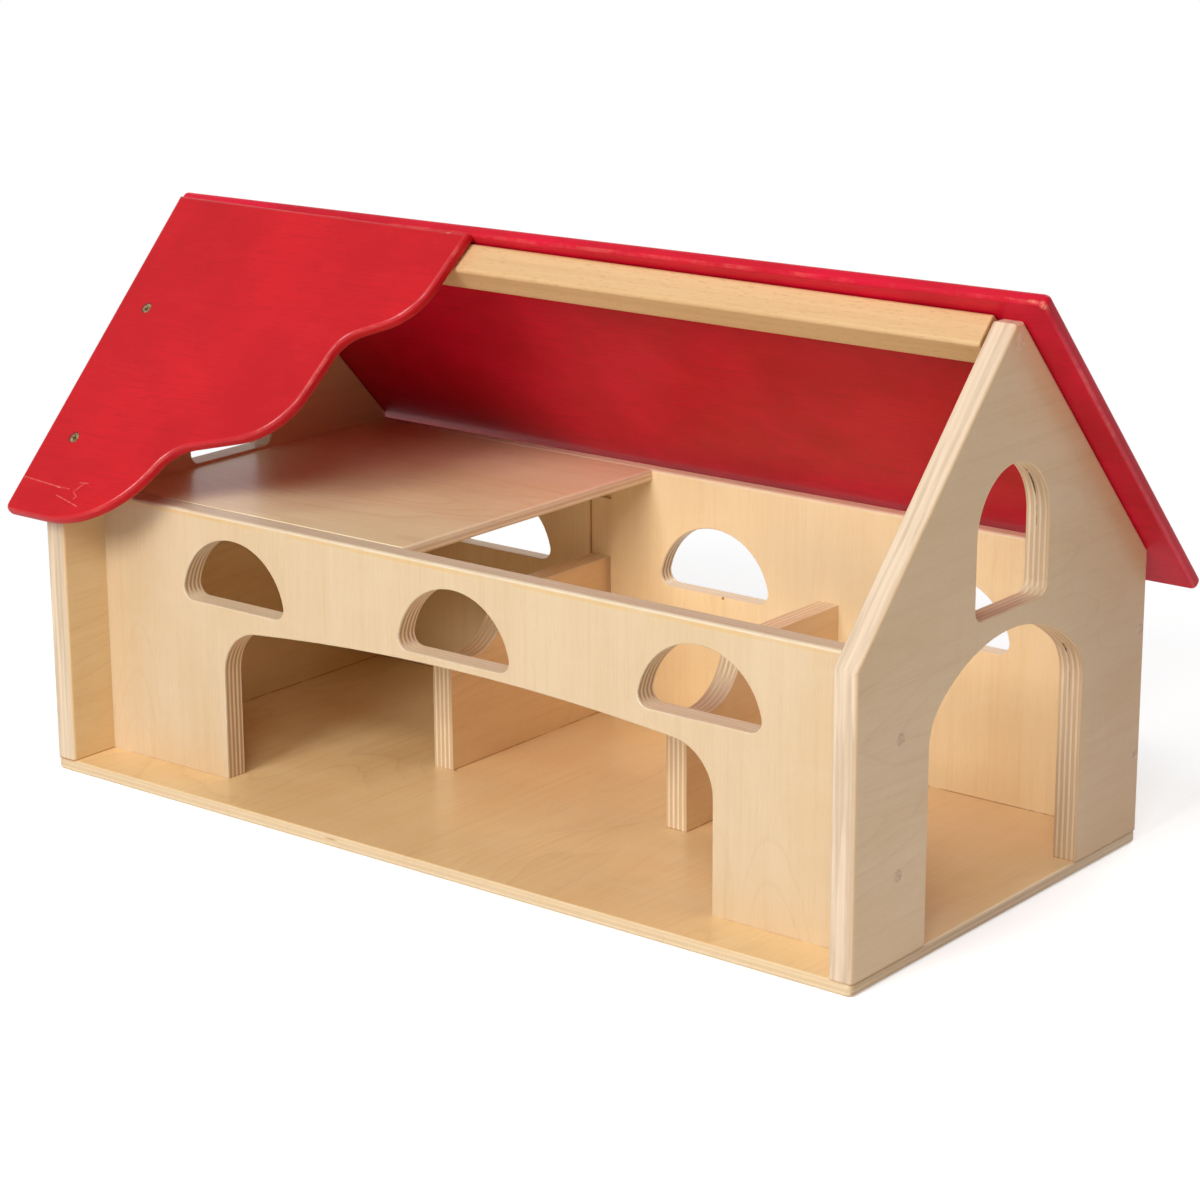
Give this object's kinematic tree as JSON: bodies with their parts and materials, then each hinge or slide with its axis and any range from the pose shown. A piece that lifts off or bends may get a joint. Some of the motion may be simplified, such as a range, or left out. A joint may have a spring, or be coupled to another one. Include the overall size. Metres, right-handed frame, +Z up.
{
  "type": "toy barn",
  "caption": "Birch plywood toy barn with arched front and side doorways, half-moon windows, stall partitions, a loft, a ridge beam and a red roof cut away in waves at the front.",
  "frame": {"origin": "centre of the underside of the base board, on the surface that the barn stands on", "axes": "+X along the ridge towards the gable with the doorway, +Y from the open front towards the back wall, +Z up"},
  "size_m": [0.5145, 0.2753, 0.2798],
  "materials": {
    "base_birch": "sanded birch plywood, clear satin lacquer, plies showing at the edges",
    "left_gable_birch": "sanded birch plywood, clear satin lacquer, plies showing at the edges",
    "right_gable_birch": "sanded birch plywood, clear satin lacquer, plies showing at the edges",
    "front_wall_birch": "sanded birch plywood, clear satin lacquer, plies showing at the edges",
    "back_wall_birch": "sanded birch plywood, clear satin lacquer, plies showing at the edges",
    "left_partition_birch": "sanded birch plywood, clear satin lacquer, plies showing at the edges",
    "right_partition_birch": "sanded birch plywood, clear satin lacquer, plies showing at the edges",
    "loft_birch": "sanded birch plywood, clear satin lacquer, plies showing at the edges",
    "beam_beech": "planed beech, clear satin lacquer",
    "front_roof_red": "opaque red satin paint on plywood, lightly scuffed",
    "back_roof_red": "opaque red satin paint on plywood, lightly scuffed",
    "dowel_beech": "end grain, sanded flush and lacquered",
    "screw_bronze": "dull bronze",
    "screw_zinc": "zinc plated"
  },
  "bodies": {
    "root": {"base_board": "base_birch", "left_gable": "left_gable_birch", "right_gable": "right_gable_birch", "front_wall": "front_wall_birch", "back_wall": "back_wall_birch", "left_partition": "left_partition_birch", "right_partition": "right_partition_birch", "loft_floor": "loft_birch", "ridge_beam": "beam_beech", "front_roof_panel": "front_roof_red", "back_roof_panel": "back_roof_red", "left_wall_dowels": "dowel_beech", "right_wall_dowels": "dowel_beech", "left_ridge_dowel": "dowel_beech", "right_ridge_dowel": "dowel_beech", "front_roof_screws": "screw_bronze", "back_roof_screws": "screw_bronze", "left_gable_screws": "screw_zinc", "right_gable_screws": "screw_zinc", "front_wall_screws": "screw_zinc", "back_wall_screws": "screw_zinc", "left_partition_screws": "screw_zinc", "right_partition_screws": "screw_zinc"}
  },
  "joints": []
}
